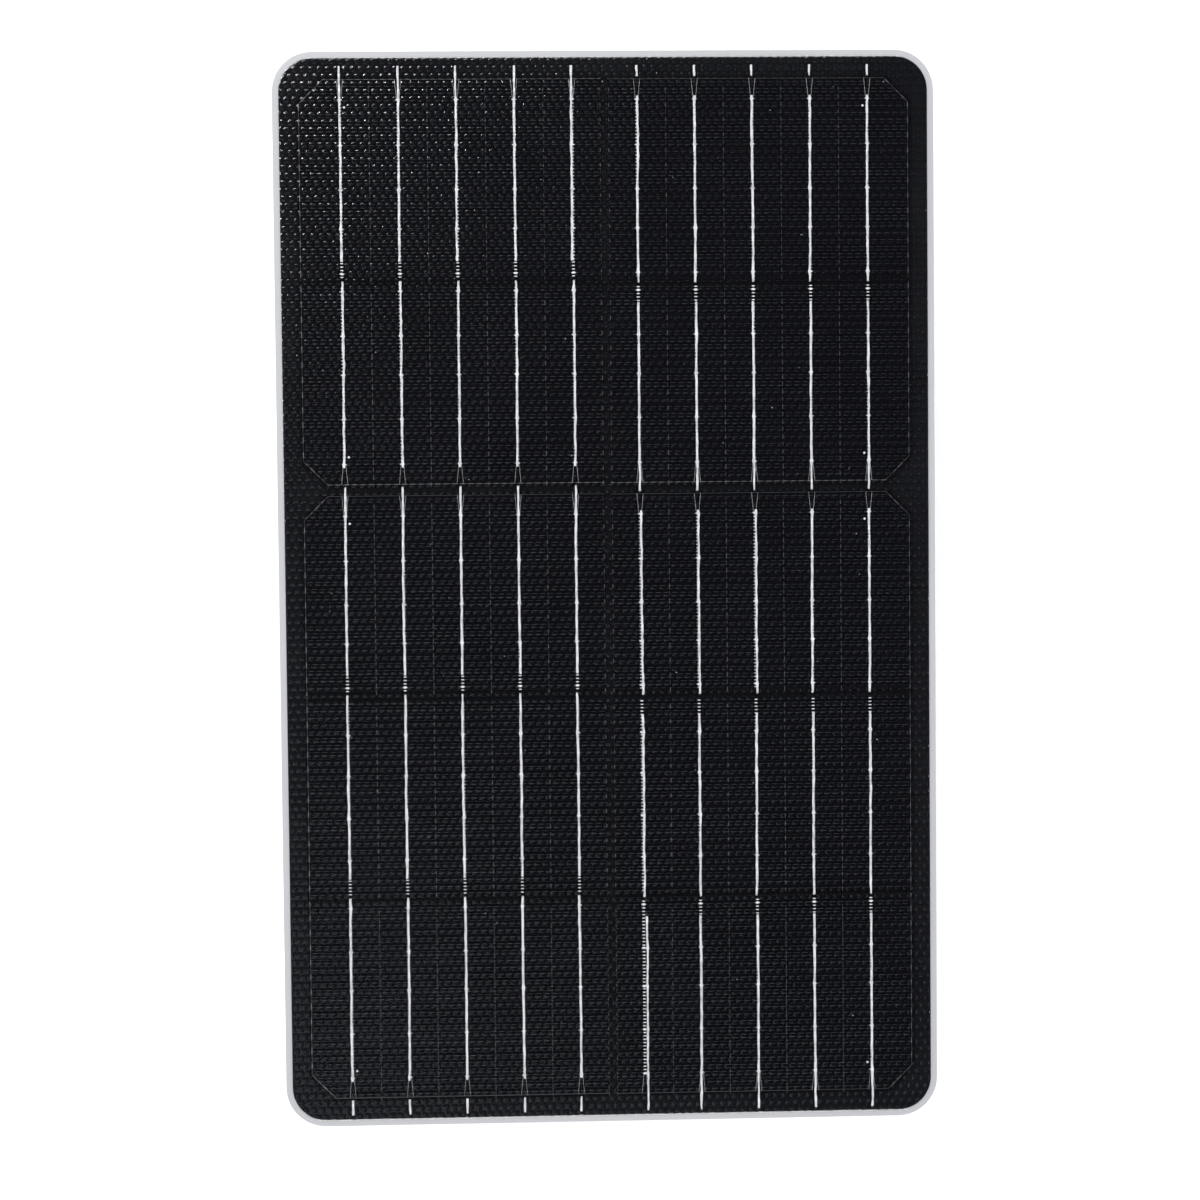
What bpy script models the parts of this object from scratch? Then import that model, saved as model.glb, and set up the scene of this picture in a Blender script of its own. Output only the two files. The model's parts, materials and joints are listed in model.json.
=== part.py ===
"""Flexible solar sheet: ten cut silicon cells laminated between films on a thin white board.

The frame is in metres. The origin is the centre of the board's rear face, +X runs across the
sheet, +Y runs along it to the end that carries the junction box, and +Z leaves the sunny face.
"""

import math

import bmesh
import bpy
from mathutils import Matrix, Vector

# Cells: a square wafer cut in two across and in three along.
WAFER = 0.182
CELL_W = WAFER / 2
CELL_L = WAFER / 3
CHAMFER = 0.0075
ROWS = 5
COLUMN_GAP = 0.0021
CUT_GAP = 0.0009
WAFER_GAP = 0.0019
GAPS_BELOW_ROW = (CUT_GAP, WAFER_GAP, CUT_GAP, CUT_GAP)
COLUMN_SHIFT = {"a": 0.00015, "b": 0.00005}
CHAMFERED_END = {1: "top", 2: "bottom", 3: "top", 5: "bottom"}

# Ribbons: five a cell, on the lines printed on it.
BUSBARS = 5
BUSBAR_PITCH = 0.01732
BUSBAR_TO_CUT = BUSBAR_PITCH / 2
RIBBON_SHIFT = 0.00015
RIBBON_W = 0.0006
RIBBON_END = 0.0058
REAR_RIBBON_END = 0.006
JOGGLE_INSET = 0.0001
TIE_W = 0.002
STUB_REACH_TOP = 0.0033
STUB_REACH_BOTTOM = 0.0044
BUS_W = 0.0042
BUS_END_MARGIN = 0.0035
SLIT_HALF_L = 0.0004
SLIT_HALF_W = 0.0007
WINDOW_ROOM = 0.001
BUS_ROOM = 0.0006

# Sheet outline.
FACE_W = 0.1944
FACE_L = 0.3196
FACE_R = 0.0100
RIM = 0.0020
ARC_STEPS = 10

# Layers from the box's lid up to the cover, each (bottom, top). Buses and leads lie in the bond.
LID_Z = (-0.01372, -0.01132)
SEAL_Z = (-0.01129, -0.01069)
BASE_Z = (-0.01066, -0.00066)
PAD_Z = (-0.00063, 0.00007)
BOARD_Z = (0.0, 0.00090)
BOND_Z = (0.00093, 0.00143)
LEAD_Z = (0.00097, 0.00117)
BUS_Z = (0.00122, 0.00140)
BACKSHEET_Z = (0.00146, 0.00166)
REAR_FILM_Z = (0.00169, 0.00184)
REAR_RIBBON_Z = (0.00187, 0.00202)
CELL_Z = (0.00205, 0.00223)
FRONT_RIBBON_Z = (0.00226, 0.00241)
FRONT_FILM_Z = (0.00244, 0.00264)
COVER_Z = (0.00267, 0.00285)

# Junction box, under the first row.
BOX_W = 0.064
BOX_L = 0.044
BOX_R = 0.004
BOX_ARC_STEPS = 6
BOX_Y = 0.124
BOX_WALL = 0.0024
BASE_FLOOR = 0.0020
POCKET_DEPTH = 0.0001
POCKET_ROOM = 0.0003
LID_EDGE = 0.0006
BOSS_R = 0.0032
BOSS_INSET = 0.0022
BOSS_X = BOX_W / 2 - BOX_WALL - BOSS_INSET
BOSS_Y = BOX_L / 2 - BOX_WALL - BOSS_INSET
SCREW_HEAD_R = 0.0021
SCREW_SHANK_R = 0.0011
SCREW_SIDES = 16
SCREW_HEAD_DEPTH = 0.0013
SCREW_HEAD_SUNK = 0.0001
SCREW_LENGTH = 0.0085
SCREW_TIP_ROOM = 0.0006
CROSS_HALF = (0.0012, 0.00025)
CROSS_DEPTH = 0.0008
CLEARANCE = 0.0001
CUTTER_MARGIN = 0.001

# Leads, terminals and diode inside the box.
LEAD_X = 0.0085
LEAD_W = 0.0030
LEAD_T = LEAD_Z[1] - LEAD_Z[0]
LEAD_START = 0.0005
LEAD_HOLE_Y = BOX_Y + 0.006
LEAD_BOTTOM = -0.0060
LEAD_HOLE_W = 0.0044
LEAD_HOLE_L = 0.0018
WINDOW_W = 0.026
WINDOW_L = 0.006
TERMINAL_W = 0.0056
TERMINAL_L = 0.0110
TERMINAL_Z = (-0.00720, -0.00270)
TERMINAL_Y = LEAD_HOLE_Y - 0.0080
TERMINAL_EDGE = 0.0003
TERMINAL_SCREW_Y = TERMINAL_Y + 0.0028
TERMINAL_SCREW_R = 0.0016
TERMINAL_SCREW_PROUD = 0.0008
TERMINAL_HOLE_DEPTH = 0.0030
TERMINAL_TIP_ROOM = 0.0002
DRIVE_SLOT_HALF_W = 0.0003
DRIVE_SLOT_DEPTH = 0.0007
DIODE_R = 0.0016
DIODE_L = 0.0056
DIODE_LEAD_R = 0.0004
DIODE_LEAD_SIDES = 12
DIODE_LEAD_SEAT = 0.0012
DIODE_LEAD_HOLE = 0.0015
DIODE_Z = -0.0050
DIODE_Y = TERMINAL_Y - 0.0020

# Cable gland in the box's +X wall. Lengths are measured along +X from the wall's outer face.
GLAND_Y = BOX_Y
GLAND_Z = -0.0067
GLAND_BORE_R = 0.0018
GLAND_THREAD_R = 0.0029
GLAND_HOLE_R = 0.0030
HEX_R = 0.0050
LOCKNUT_R = 0.0038
WASHER_R = 0.0042
WASHER_X = (0.00003, 0.00083)
FLANGE_X = (0.00086, 0.00306)
BODY_END_X = 0.0080
INNER_END_X = -0.0066
LOCKNUT_X = (-0.0050, -0.00243)
NUT_X = (0.0034, 0.0120)
SEAL_X = (0.0040, 0.0105)
SEAL_R = 0.0021
SEAL_SEAT_R = 0.0023
SEAL_BORE_R = 0.0017
SEAL_CONE_R = (0.0031, 0.0022)
SEAL_STEM_END_X = 0.0086
NUT_GRIP_END_X = 0.0085
NUT_DOME_R = (0.0042, 0.0030)
NUT_CONE_R = (0.0032, 0.0024)
NUT_MOUTH_R = 0.0022
NUT_OVERLAP = 0.0005

ROUND = 24
SHARP_ANGLE = math.radians(35)
BEVEL_ANGLE = math.radians(50)
WELD = 1e-6
COLOURS = {
    "cover": ((0.02, 0.021, 0.026), 0.35, 0.0),
    "film": ((0.75, 0.77, 0.8), 0.4, 0.0),
    "silicon": ((0.014, 0.016, 0.022), 0.3, 0.0),
    "tinned_copper": ((0.80, 0.80, 0.82), 0.35, 1.0),
    "copper": ((0.85, 0.55, 0.40), 0.35, 1.0),
    "black_sheet": ((0.02, 0.021, 0.024), 0.6, 0.0),
    "white_board": ((0.80, 0.80, 0.81), 0.5, 0.0),
    "black_plastic": ((0.025, 0.025, 0.027), 0.5, 0.0),
    "rubber": ((0.03, 0.03, 0.03), 0.8, 0.0),
    "foam_tape": ((0.06, 0.06, 0.065), 0.9, 0.0),
    "brass": ((0.78, 0.60, 0.30), 0.35, 1.0),
    "steel": ((0.62, 0.63, 0.65), 0.3, 1.0),
    "epoxy": ((0.03, 0.03, 0.032), 0.45, 0.0),
}


def clear_scene():
    for obj in list(bpy.data.objects):
        bpy.data.objects.remove(obj, do_unlink=True)


def new_collection(name):
    collection = bpy.data.collections.new(name)
    bpy.context.scene.collection.children.link(collection)
    return collection


def material(slot):
    if slot in bpy.data.materials:
        return bpy.data.materials[slot]
    colour, roughness, metallic = COLOURS[slot]
    made = bpy.data.materials.new(slot)
    made.use_nodes = True
    shader = made.node_tree.nodes["Principled BSDF"]
    shader.inputs["Base Color"].default_value = (*colour, 1)
    shader.inputs["Roughness"].default_value = roughness
    shader.inputs["Metallic"].default_value = metallic
    return made


clear_scene()
PARTS = new_collection("flexible_solar_sheet")
CUTTERS = new_collection("cutters")


def add_part(name, data, slot):
    data.materials.append(material(slot))
    obj = bpy.data.objects.new(name, data)
    PARTS.objects.link(obj)
    return obj


def middle_of(low_high):
    return sum(low_high) / 2


# ---- layout ---------------------------------------------------------------------------------


def row_edges():
    """(bottom, top) of each row, before its column's shift, from row 1 at the +Y end."""
    edges = {}
    top = (ROWS * CELL_L + sum(GAPS_BELOW_ROW)) / 2
    for row in range(1, ROWS + 1):
        edges[row] = (top - CELL_L, top)
        if row < ROWS:
            top -= CELL_L + GAPS_BELOW_ROW[row - 1]
    return edges


EDGES = row_edges()


def cell_y(column, row):
    return tuple(y + COLUMN_SHIFT[column] for y in EDGES[row])


def column_side(column):
    return -1 if column == "a" else 1


def ribbon_xs(column):
    """The five ribbons of a column, from the sheet's middle outwards."""
    side = column_side(column)
    first = COLUMN_GAP / 2 + BUSBAR_TO_CUT
    return [side * (first + n * BUSBAR_PITCH) + RIBBON_SHIFT for n in range(BUSBARS)]


def bus_x(column):
    xs = ribbon_xs(column)
    return (min(xs) - BUS_END_MARGIN, max(xs) + BUS_END_MARGIN)


def bus_y(end):
    """(far edge, edge where the ribbons rise) of a bus, folded back behind the black sheet."""
    if end == "top":
        rise = EDGES[1][1] + STUB_REACH_TOP
        return (rise - BUS_W, rise)
    rise = EDGES[ROWS][0] - STUB_REACH_BOTTOM
    return (rise + BUS_W, rise)


def boss_places():
    return [(sx * BOSS_X, BOX_Y + sy * BOSS_Y) for sx in (-1, 1) for sy in (-1, 1)]


# ---- outlines -------------------------------------------------------------------------------


def rectangle(x_low, y_low, x_high, y_high):
    return [(x_low, y_low), (x_high, y_low), (x_high, y_high), (x_low, y_high)]


def rounded_rectangle(width, length, radius, centre_y=0.0, steps=ARC_STEPS):
    """Corner arcs joined by straight sides, anticlockwise."""
    points = []
    for quarter in range(4):
        sign_x = (1, -1, -1, 1)[quarter]
        sign_y = (1, 1, -1, -1)[quarter]
        middle_x = sign_x * (width / 2 - radius)
        middle_y = centre_y + sign_y * (length / 2 - radius)
        for step in range(steps + 1):
            angle = math.radians(90) * (quarter + step / steps)
            points.append((middle_x + radius * math.cos(angle), middle_y + radius * math.sin(angle)))
    return points


def sheet_outline(margin):
    """The outline of the laminate's face, or of the board that shows margin all round it."""
    return rounded_rectangle(FACE_W + 2 * margin, FACE_L + 2 * margin, FACE_R + margin)


def box_outline(inset):
    size = (BOX_W - 2 * inset, BOX_L - 2 * inset, BOX_R - inset)
    return rounded_rectangle(*size, BOX_Y, BOX_ARC_STEPS)


def cell_outline(column, row):
    """A cut cell: only its outer corner on a factory edge keeps the wafer's chamfer."""
    low, high = cell_y(column, row)
    side = column_side(column)
    inner = side * COLUMN_GAP / 2
    outer = inner + side * CELL_W
    corner = outer - side * CHAMFER
    chamfered = CHAMFERED_END.get(row)
    points = [(inner, low)]
    points += [(corner, low), (outer, low + CHAMFER)] if chamfered == "bottom" else [(outer, low)]
    points += [(outer, high - CHAMFER), (corner, high)] if chamfered == "top" else [(outer, high)]
    points.append((inner, high))
    return points


# ---- solids and cuts ------------------------------------------------------------------------


def smooth(mesh):
    mesh.shade_smooth()
    mesh.set_sharp_from_angle(angle=SHARP_ANGLE)


def mesh_from(build):
    mesh = bpy.data.meshes.new("shape")
    shape = bmesh.new()
    build(shape)
    shape.to_mesh(mesh)
    shape.free()
    return mesh


def box_mesh(x_range, y_range, z_range):
    size = [high - low for low, high in (x_range, y_range, z_range)]
    middle = [middle_of(span) for span in (x_range, y_range, z_range)]
    place = Matrix.Translation(middle) @ Matrix.Diagonal((*size, 1))
    return mesh_from(lambda shape: bmesh.ops.create_cube(shape, size=1, matrix=place))


def cylinder_mesh(radius, start, end, segments=ROUND, end_radius=None):
    """A cylinder or cone from the point start to the point end."""
    axis = Vector(end) - Vector(start)
    turn = axis.to_track_quat("Z", "Y").to_matrix().to_4x4()
    place = Matrix.Translation((Vector(start) + Vector(end)) / 2) @ turn

    def build(shape):
        bmesh.ops.create_cone(
            shape,
            cap_ends=True,
            segments=segments,
            radius1=radius,
            radius2=radius if end_radius is None else end_radius,
            depth=axis.length,
            matrix=place,
        )

    mesh = mesh_from(build)
    smooth(mesh)
    return mesh


def upright_cylinder(radius, place, z_range, segments=ROUND):
    return cylinder_mesh(radius, (*place, z_range[0]), (*place, z_range[1]), segments)


def flat_curve(name, outline, z_range, holes=()):
    """A flat shape of one thickness, with its holes, as an extruded 2D curve."""
    curve = bpy.data.curves.new(name, "CURVE")
    curve.dimensions = "2D"
    curve.fill_mode = "BOTH"
    curve.extrude = (z_range[1] - z_range[0]) / 2
    for loop in (outline, *holes):
        spline = curve.splines.new("POLY")
        spline.points.add(len(loop) - 1)
        spline.use_cyclic_u = True
        for point, (x, y) in zip(spline.points, loop):
            point.co = (x, y, 0, 1)
    return curve


def flat_piece(name, outline, z_range, slot, holes=()):
    obj = add_part(name, flat_curve(name, outline, z_range, holes), slot)
    obj.location.z = middle_of(z_range)
    return obj


def flat_mesh(outline, z_range, holes=()):
    """The same shape as one closed mesh, for a piece that is cut or joined."""
    curve = flat_curve("temporary", outline, z_range, holes)
    temporary = bpy.data.objects.new("temporary", curve)
    CUTTERS.objects.link(temporary)
    graph = bpy.context.evaluated_depsgraph_get()
    mesh = bpy.data.meshes.new_from_object(temporary.evaluated_get(graph))
    bpy.data.objects.remove(temporary)
    mesh.transform(Matrix.Translation((0, 0, middle_of(z_range))))
    shape = bmesh.new()
    shape.from_mesh(mesh)
    bmesh.ops.remove_doubles(shape, verts=shape.verts, dist=WELD)
    bmesh.ops.recalc_face_normals(shape, faces=shape.faces)
    shape.to_mesh(mesh)
    shape.free()
    smooth(mesh)
    return mesh


def boolean(obj, mesh, operation):
    tool = bpy.data.objects.new(obj.name + "_cutter", mesh)
    tool.hide_render = True
    tool.display_type = "WIRE"
    CUTTERS.objects.link(tool)
    modifier = obj.modifiers.new(operation.lower(), "BOOLEAN")
    modifier.operation = operation
    modifier.object = tool


def cut(obj, mesh):
    boolean(obj, mesh, "DIFFERENCE")


def join(obj, mesh):
    boolean(obj, mesh, "UNION")


def bevel(obj, width, segments):
    modifier = obj.modifiers.new("edge", "BEVEL")
    modifier.width = width
    modifier.segments = segments
    modifier.limit_method = "ANGLE"
    modifier.angle_limit = BEVEL_ANGLE


# ---- strips of foil and wire ----------------------------------------------------------------


def run_strip(shape, edge, path):
    """Carries an edge that lies along X through the (y, z) points of a path."""
    for y, z in path:
        made = bmesh.ops.extrude_edge_only(shape, edges=[edge])["geom"]
        ends = [item for item in made if isinstance(item, bmesh.types.BMVert)]
        edges = [item for item in made if isinstance(item, bmesh.types.BMEdge)]
        edge = next(item for item in edges if set(item.verts) == set(ends))
        for vert in ends:
            vert.co.y = y
            vert.co.z = z


def strip_part(name, build, thickness, slot):
    """A part from an open surface of strips, given its thickness on both sides."""

    def build_and_face(shape):
        build(shape)
        bmesh.ops.recalc_face_normals(shape, faces=shape.faces)

    obj = add_part(name, mesh_from(build_and_face), slot)
    solid = obj.modifiers.new("thickness", "SOLIDIFY")
    solid.thickness = thickness
    solid.offset = 0
    solid.use_even_offset = True
    return obj


def comb(name, spine, spine_z, thickness, teeth):
    """A flat strip with narrow ribbons running on from one of its long edges.

    The strip lies between spine[0] in X and from spine[1][0] to spine[1][1] in Y, where the
    ribbons start. Each ribbon is (x, path): its path is the (y, z) points that it goes through.
    """
    x_range, y_range = spine
    teeth = sorted(teeth)

    def build(shape):
        stops = [x_range[0]]
        for x, _ in teeth:
            stops += [x - RIBBON_W / 2, x + RIBBON_W / 2]
        stops.append(x_range[1])
        far_row = [shape.verts.new((x, y_range[0], spine_z)) for x in stops]
        far_edges = [shape.edges.new(pair) for pair in zip(far_row, far_row[1:])]
        made = bmesh.ops.extrude_edge_only(shape, edges=far_edges)["geom"]
        root = [item for item in made if isinstance(item, bmesh.types.BMVert)]
        bmesh.ops.translate(shape, verts=root, vec=(0, y_range[1] - y_range[0], 0))
        root.sort(key=lambda vert: vert.co.x)
        for number, (_, path) in enumerate(teeth):
            left, right = root[2 * number + 1 : 2 * number + 3]
            start = next(edge for edge in left.link_edges if right in edge.verts)
            run_strip(shape, start, path)

    return strip_part(name, build, thickness, "tinned_copper")


# ---- cells and ribbons ----------------------------------------------------------------------


def make_cells():
    for column in "ab":
        for row in range(1, ROWS + 1):
            flat_piece(f"cell_{column}{row}", cell_outline(column, row), CELL_Z, "silicon")


def interconnect(column, rear_row, front_row):
    """Five ribbons from the back of one cell, up through the gap, to the front of the next."""
    direction = -1 if front_row > rear_row else 1
    near = cell_y(column, rear_row)[0 if direction < 0 else 1]
    far = cell_y(column, front_row)[1 if direction < 0 else 0]
    start = near - direction * (CELL_L - REAR_RIBBON_END)
    rear_z = middle_of(REAR_RIBBON_Z)
    front_z = middle_of(FRONT_RIBBON_Z)
    path = [
        (near + direction * JOGGLE_INSET, rear_z),
        (far - direction * JOGGLE_INSET, front_z),
        (far + direction * (CELL_L - RIBBON_END), front_z),
    ]
    xs = ribbon_xs(column)
    upper, lower = sorted((rear_row, front_row))
    comb(
        f"ribbons_{column}{upper}_{column}{lower}",
        ((min(xs) - RIBBON_W, max(xs) + RIBBON_W), (start, start + direction * TIE_W)),
        rear_z,
        REAR_RIBBON_Z[1] - REAR_RIBBON_Z[0],
        [(x, path) for x in xs],
    )


def end_ribbons(column, end, face):
    """Five ribbons from the edge of a bus, up through the slits, along a face of the end cell."""
    z_range, stop = {"front": (FRONT_RIBBON_Z, RIBBON_END), "rear": (REAR_RIBBON_Z, REAR_RIBBON_END)}[face]
    low, high = cell_y(column, 1 if end == "top" else ROWS)
    last = low + stop if end == "top" else high - stop
    path = [(bus_y(end)[1], middle_of(z_range)), (last, middle_of(z_range))]
    return [(x, path) for x in ribbon_xs(column)]


def make_ribbons():
    for upper in range(1, ROWS):
        interconnect("a", upper, upper + 1)
        interconnect("b", upper + 1, upper)


def make_buses():
    bus_z = middle_of(BUS_Z)
    bus_t = BUS_Z[1] - BUS_Z[0]
    for name, column, face in (("bus_negative", "a", "front"), ("bus_positive", "b", "rear")):
        spine = (bus_x(column), bus_y("top"))
        comb(name, spine, bus_z, bus_t, end_ribbons(column, "top", face))
    spine = ((bus_x("a")[0], bus_x("b")[1]), bus_y("bottom"))
    teeth = end_ribbons("a", "bottom", "rear") + end_ribbons("b", "bottom", "front")
    comb("bus_bottom", spine, bus_z, bus_t, teeth)


# ---- layers ---------------------------------------------------------------------------------


def ribbon_slits():
    """One slit for each ribbon that goes down through the layers to a bus."""
    slits = []
    for end in ("top", "bottom"):
        y = bus_y(end)[1]
        for x in ribbon_xs("a") + ribbon_xs("b"):
            slits.append(rectangle(x - SLIT_HALF_W, y - SLIT_HALF_L, x + SLIT_HALF_W, y + SLIT_HALF_L))
    return slits


def bus_windows():
    """The cut-outs of the bonding layer: a T at the top for two buses and the leads, a slot below."""
    side = bus_x("b")[1] + WINDOW_ROOM
    neck = LEAD_X + LEAD_W / 2 + WINDOW_ROOM
    foot = LEAD_HOLE_Y - LEAD_HOLE_L
    top_low = bus_y("top")[0] - BUS_ROOM
    top_high = bus_y("top")[1] + SLIT_HALF_L
    tee = [(-neck, foot), (neck, foot), (neck, top_low), (side, top_low)]
    tee += [(side, top_high), (-side, top_high), (-side, top_low), (-neck, top_low)]
    bottom_low = bus_y("bottom")[1] - SLIT_HALF_L
    bottom_high = bus_y("bottom")[0] + BUS_ROOM
    return [tee, rectangle(-side, bottom_low, side, bottom_high)]


def lead_holes():
    half_w = LEAD_HOLE_W / 2
    half_l = LEAD_HOLE_L / 2
    low = LEAD_HOLE_Y - half_l
    high = LEAD_HOLE_Y + half_l
    return [rectangle(x - half_w, low, x + half_w, high) for x in (-LEAD_X, LEAD_X)]


def make_layers():
    flat_piece("front_cover_film", sheet_outline(0), COVER_Z, "cover")
    flat_piece("front_encapsulant", sheet_outline(0), FRONT_FILM_Z, "film")
    flat_piece("rear_encapsulant", sheet_outline(0), REAR_FILM_Z, "film", ribbon_slits())
    flat_piece("black_backsheet", sheet_outline(0), BACKSHEET_Z, "black_sheet", ribbon_slits())
    flat_piece("bonding_layer", sheet_outline(RIM), BOND_Z, "film", bus_windows())


def make_board():
    """The board, with a slot for each lead and a shallow pocket that places the junction box."""
    shape = flat_mesh(sheet_outline(RIM), BOARD_Z, lead_holes())
    board = add_part("backing_board", shape, "white_board")
    cut(board, flat_mesh(box_outline(-POCKET_ROOM), (-CUTTER_MARGIN, POCKET_DEPTH)))


# ---- junction box ---------------------------------------------------------------------------


def box_window():
    """(X range, Y range) of the opening that lets the leads in."""
    x_range = (-WINDOW_W / 2, WINDOW_W / 2)
    y_range = (LEAD_HOLE_Y - WINDOW_L / 2, LEAD_HOLE_Y + WINDOW_L / 2)
    return x_range, y_range


def make_box_pad():
    (x_low, x_high), (y_low, y_high) = box_window()
    window = rectangle(x_low, y_low, x_high, y_high)
    flat_piece("jbox_adhesive_pad", box_outline(0), PAD_Z, "foam_tape", [window])


def make_box_base():
    """A tray open towards the lid, with four screw bosses, a window and a hole for the gland."""
    floor_z = BASE_Z[1] - BASE_FLOOR
    base = add_part("jbox_base", flat_mesh(box_outline(0), BASE_Z), "black_plastic")
    cut(base, flat_mesh(box_outline(BOX_WALL), (BASE_Z[0] - CUTTER_MARGIN, floor_z)))
    for place in boss_places():
        join(base, upright_cylinder(BOSS_R, place, (BASE_Z[0], floor_z + BASE_FLOOR / 2)))
    hole_z = (BASE_Z[0] - CUTTER_MARGIN, LID_Z[0] + SCREW_LENGTH + SCREW_TIP_ROOM)
    for place in boss_places():
        cut(base, upright_cylinder(SCREW_SHANK_R + CLEARANCE, place, hole_z, SCREW_SIDES))
    cut(base, box_mesh(*box_window(), (floor_z - CUTTER_MARGIN, BASE_Z[1] + CUTTER_MARGIN)))
    cut(base, gland_cylinder(GLAND_HOLE_R, (-BOX_WALL - CUTTER_MARGIN, CUTTER_MARGIN)))


def make_box_lid():
    flat_piece("jbox_lid_seal", box_outline(0), SEAL_Z, "rubber", [box_outline(BOX_WALL)])
    lid = add_part("jbox_lid", flat_mesh(box_outline(0), LID_Z), "black_plastic")
    bevel(lid, LID_EDGE, 2)
    below = LID_Z[0] - CUTTER_MARGIN
    recess_floor = LID_Z[0] + SCREW_HEAD_DEPTH + CLEARANCE
    for place in boss_places():
        through = (below, LID_Z[1] + CUTTER_MARGIN)
        cut(lid, upright_cylinder(SCREW_SHANK_R + CLEARANCE, place, through, SCREW_SIDES))
        cut(lid, upright_cylinder(SCREW_HEAD_R + CLEARANCE, place, (below, recess_floor)))


def make_lid_screws():
    """Pan-head screws driven up into the bosses, with a cross recess in each head."""
    head = LID_Z[0] + SCREW_HEAD_SUNK
    for number, (x, y) in enumerate(boss_places(), 1):
        shank = upright_cylinder(SCREW_SHANK_R, (x, y), (head, LID_Z[0] + SCREW_LENGTH), SCREW_SIDES)
        screw = add_part(f"lid_screw_{number}", shank, "steel")
        join(screw, upright_cylinder(SCREW_HEAD_R, (x, y), (head, LID_Z[0] + SCREW_HEAD_DEPTH)))
        for half_x, half_y in (CROSS_HALF, reversed(CROSS_HALF)):
            z_range = (head - CUTTER_MARGIN, head + CROSS_DEPTH)
            cut(screw, box_mesh((x - half_x, x + half_x), (y - half_y, y + half_y), z_range))


def make_lead(pole, x):
    """A flat lead from its bus, between board and sheet, then down into the box."""
    lead_z = middle_of(LEAD_Z)
    path = [(LEAD_HOLE_Y, lead_z), (LEAD_HOLE_Y, LEAD_BOTTOM)]

    def build(shape):
        start = bus_y("top")[1] - LEAD_START
        ends = [shape.verts.new((x + side * LEAD_W / 2, start, lead_z)) for side in (-1, 1)]
        run_strip(shape, shape.edges.new(ends), path)

    strip_part(f"lead_{pole}", build, LEAD_T, "copper")


def make_terminal(pole, x):
    """A brass clamp block beside the lead, with a screw that closes it and a seat for the diode."""
    inward = -math.copysign(1, x)
    x_range = (x - TERMINAL_W / 2, x + TERMINAL_W / 2)
    y_range = (TERMINAL_Y - TERMINAL_L / 2, TERMINAL_Y + TERMINAL_L / 2)
    block = add_part(f"terminal_{pole}", box_mesh(x_range, y_range, TERMINAL_Z), "brass")
    bevel(block, TERMINAL_EDGE, 1)
    place = (x, TERMINAL_SCREW_Y)
    hole_end = TERMINAL_Z[0] + TERMINAL_HOLE_DEPTH
    hole_z = (TERMINAL_Z[0] - CUTTER_MARGIN, hole_end)
    cut(block, upright_cylinder(TERMINAL_SCREW_R + CLEARANCE, place, hole_z))
    face_x = x + inward * TERMINAL_W / 2
    mouth = (face_x + inward * CUTTER_MARGIN, DIODE_Y, DIODE_Z)
    bottom = (face_x - inward * DIODE_LEAD_HOLE, DIODE_Y, DIODE_Z)
    cut(block, cylinder_mesh(DIODE_LEAD_R + CLEARANCE, mouth, bottom, DIODE_LEAD_SIDES))

    head = TERMINAL_Z[0] - TERMINAL_SCREW_PROUD
    shank = upright_cylinder(TERMINAL_SCREW_R, place, (head, hole_end - TERMINAL_TIP_ROOM))
    screw = add_part(f"terminal_screw_{pole}", shank, "steel")
    slot_x = (x - TERMINAL_SCREW_R - CUTTER_MARGIN, x + TERMINAL_SCREW_R + CUTTER_MARGIN)
    slot_y = (TERMINAL_SCREW_Y - DRIVE_SLOT_HALF_W, TERMINAL_SCREW_Y + DRIVE_SLOT_HALF_W)
    cut(screw, box_mesh(slot_x, slot_y, (head - CUTTER_MARGIN, head + DRIVE_SLOT_DEPTH)))


def make_diode():
    """The bypass diode across the two terminals."""
    reach = LEAD_X - TERMINAL_W / 2 + DIODE_LEAD_SEAT
    ends = [(side * reach, DIODE_Y, DIODE_Z) for side in (-1, 1)]
    diode = add_part("bypass_diode", cylinder_mesh(DIODE_LEAD_R, *ends, DIODE_LEAD_SIDES), "epoxy")
    case = [(side * DIODE_L / 2, DIODE_Y, DIODE_Z) for side in (-1, 1)]
    join(diode, cylinder_mesh(DIODE_R, *case))


# ---- cable gland ----------------------------------------------------------------------------


def gland_cylinder(radius, x_range, segments=ROUND, end_radius=None):
    """A cylinder or cone on the gland's axis, its ends given from the box wall's outer face."""
    start, end = [(BOX_W / 2 + along, GLAND_Y, GLAND_Z) for along in x_range]
    return cylinder_mesh(radius, start, end, segments, end_radius)


def bore(obj, radius, x_range, end_radius=None):
    cut(obj, gland_cylinder(radius, x_range, ROUND, end_radius))


def bore_through(obj, radius, x_range):
    bore(obj, radius, (x_range[0] - CUTTER_MARGIN, x_range[1] + CUTTER_MARGIN))


def make_gland_body():
    tube = gland_cylinder(GLAND_THREAD_R, (INNER_END_X, BODY_END_X))
    body = add_part("gland_body", tube, "black_plastic")
    join(body, gland_cylinder(HEX_R, FLANGE_X, 6))
    bore(body, GLAND_BORE_R, (INNER_END_X - CUTTER_MARGIN, SEAL_X[0]))
    bore(body, SEAL_SEAT_R, (SEAL_X[0] - 2 * CLEARANCE, BODY_END_X + CUTTER_MARGIN))


def make_gland_rings():
    washer = add_part("gland_washer", gland_cylinder(WASHER_R, WASHER_X), "rubber")
    bore_through(washer, GLAND_THREAD_R + CLEARANCE, WASHER_X)
    locknut = add_part("gland_locknut", gland_cylinder(LOCKNUT_R, LOCKNUT_X, 6), "black_plastic")
    bore_through(locknut, GLAND_THREAD_R + CLEARANCE, LOCKNUT_X)


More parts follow.
